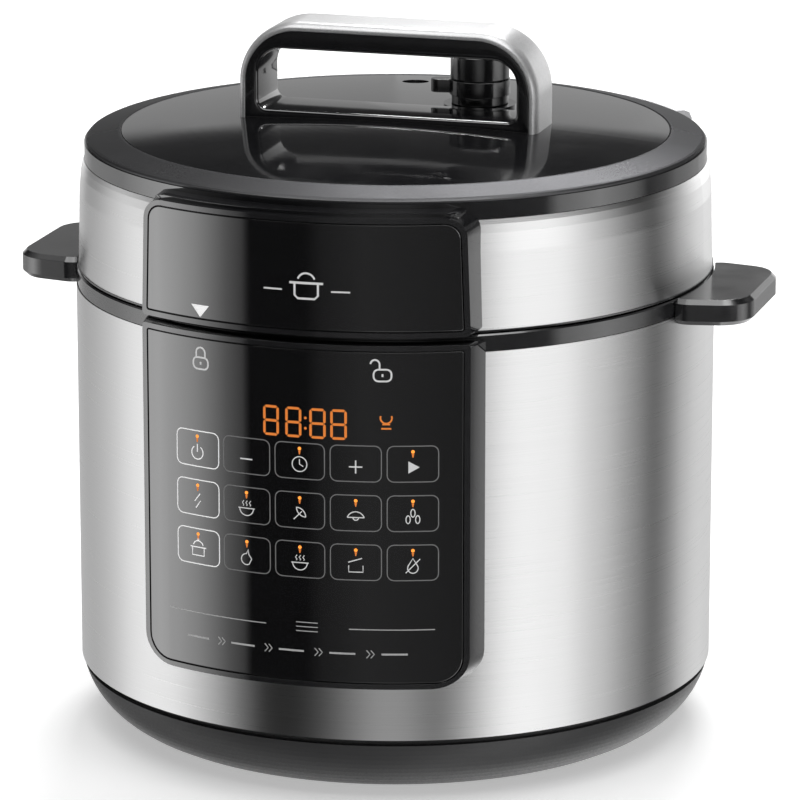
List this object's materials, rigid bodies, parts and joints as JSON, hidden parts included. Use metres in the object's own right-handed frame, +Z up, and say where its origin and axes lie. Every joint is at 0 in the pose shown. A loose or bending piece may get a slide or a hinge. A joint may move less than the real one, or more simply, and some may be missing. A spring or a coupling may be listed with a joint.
{
  "type": "electric pressure cooker",
  "caption": "Round electric pressure cooker with a bayonet lid, arched lid handle, touch panel, side carry handles, inner pot and heating base.",
  "frame": {"origin": "on the body's axis, at the surface the feet stand on", "axes": "+Z up, -Y towards the control panel, X along the carry handles"},
  "size_m": [0.332, 0.3, 0.31],
  "materials": {
    "brushed_steel": "circumferentially brushed stainless steel",
    "plain_steel": "plain drawn steel",
    "zinc_steel": "zinc-plated fastener steel",
    "black_gloss": "polished black plastic",
    "panel_glass": "black-backed glossy panel",
    "black_satin": "satin black plastic",
    "base_plastic": "dark moulded plastic",
    "rim_grey": "dark metallic satin coating",
    "handle_silver": "satin silver coating",
    "rear_grey": "satin grey coating",
    "foot_rubber": "black rubber",
    "silicone": "translucent white silicone",
    "cast_aluminium": "cast and machined aluminium",
    "nonstick": "dark non-stick coating",
    "circuit_green": "green circuit board",
    "component_black": "electronic component",
    "relay_blue": "blue relay case",
    "winding": "lacquered transformer",
    "contact_metal": "plated contact",
    "ceramic": "ceramic and white plastic",
    "wire_brown": "brown wire insulation",
    "wire_red": "red heat-proof sleeve",
    "ribbon_grey": "grey ribbon cable",
    "cup_clear": "frosted clear plastic"
  },
  "bodies": {
    "base": {"rubber_feet": "foot_rubber", "base_pan": "base_plastic", "base_screws": "zinc_steel", "outer_shell": "brushed_steel", "middle_ring": "black_satin", "carry_handle_left": "black_satin", "carry_handle_right": "black_satin", "carry_handle_screws": "zinc_steel", "control_panel_frame": "black_gloss", "control_panel_glass": "panel_glass", "display_module": "component_black", "control_board": "circuit_green", "touch_pads": "component_black", "board_screws": "zinc_steel", "power_board": "circuit_green", "transformer": "winding", "relay": "relay_blue", "capacitors": "component_black", "outer_pot": "plain_steel", "elastic_plate": "plain_steel", "heating_plate": "cast_aluminium", "heater_screws": "zinc_steel", "element_terminals": "contact_metal", "thermostat_holder": "plain_steel", "sensor_spring": "zinc_steel", "thermal_fuse": "ceramic", "pressure_switch": "ceramic", "power_inlet": "black_satin", "inlet_pins": "contact_metal", "cup_bracket": "black_satin", "mains_leads": "wire_brown", "heater_leads": "wire_red", "ribbon_cable": "ribbon_grey"},
    "pot": {"inner_pot": "nonstick"},
    "sensor": {"thermostat_sensor": "cast_aluminium"},
    "seal": {"sealing_ring": "silicone"},
    "lid": {"lid_base_ring": "black_satin", "lid_band": "brushed_steel", "lid_cover": "black_gloss", "rim_ring": "rim_grey", "lid_panel_frame": "black_gloss", "lid_panel_glass": "panel_glass", "lid_rear_cover": "rear_grey", "lid_screws": "zinc_steel", "pressure_lid": "plain_steel", "lid_nuts": "zinc_steel", "seal_carrier": "plain_steel", "carrier_grommet": "silicone", "handle_core": "black_gloss", "handle_cover": "handle_silver", "handle_screws": "zinc_steel", "steam_pipe": "contact_metal", "steam_pipe_nut": "zinc_steel", "steam_shield": "plain_steel"},
    "collar": {"valve_collar": "black_satin"},
    "weight": {"pressure_valve": "black_satin"},
    "float": {"float_valve": "plain_steel", "float_seal": "silicone"},
    "slider": {"interlock_slider": "plain_steel"},
    "cup": {"condensate_cup": "cup_clear"}
  },
  "joints": [
    {"name": "lid_lift", "type": "slide", "parent": "base", "child": "seal", "axis": [0, 0, 1], "range_m": [0, 0.36]},
    {"name": "lid_turn", "type": "hinge", "parent": "seal", "child": "lid", "pos_m": [0, 0, 0.2135], "axis": [0, 0, 1], "range_deg": [0, 31]},
    {"name": "pot_lift", "type": "slide", "parent": "base", "child": "pot", "axis": [0, 0, 1], "range_m": [0, 0.18]},
    {"name": "sensor_press", "type": "slide", "parent": "base", "child": "sensor", "axis": [0, 0, -1], "range_m": [0, 0.0025], "stiffness_N_per_m": 800, "springref_m": -0.003, "deforming": ["sensor_spring"]},
    {"name": "cup_pull", "type": "slide", "parent": "base", "child": "cup", "axis": [0, 1, 0], "range_m": [0, 0.03]},
    {"name": "valve_turn", "type": "hinge", "parent": "lid", "child": "collar", "pos_m": [0.028, 0.036, 0.2768], "axis": [0, 0, -1], "range_deg": [0, 45]},
    {"name": "valve_lift", "type": "slide", "parent": "lid", "child": "weight", "axis": [0, 0, 1], "range_m": [0, 0.005]},
    {"name": "float_rise", "type": "slide", "parent": "lid", "child": "float", "axis": [0, 0, 1], "range_m": [0, 0.005]},
    {"name": "slider_push", "type": "slide", "parent": "lid", "child": "slider", "axis": [0.192, -0.9814, 0], "range_m": [0, 0.0055]}
  ],
  "couplings": [
    {"joint": "pot_lift", "follows": "lid_lift", "ratio": 0.5},
    {"joint": "valve_lift", "follows": "valve_turn", "m_per_rad": 0.005093},
    {"joint": "slider_push", "follows": "lid_turn", "m_per_rad": 0.009241}
  ]
}
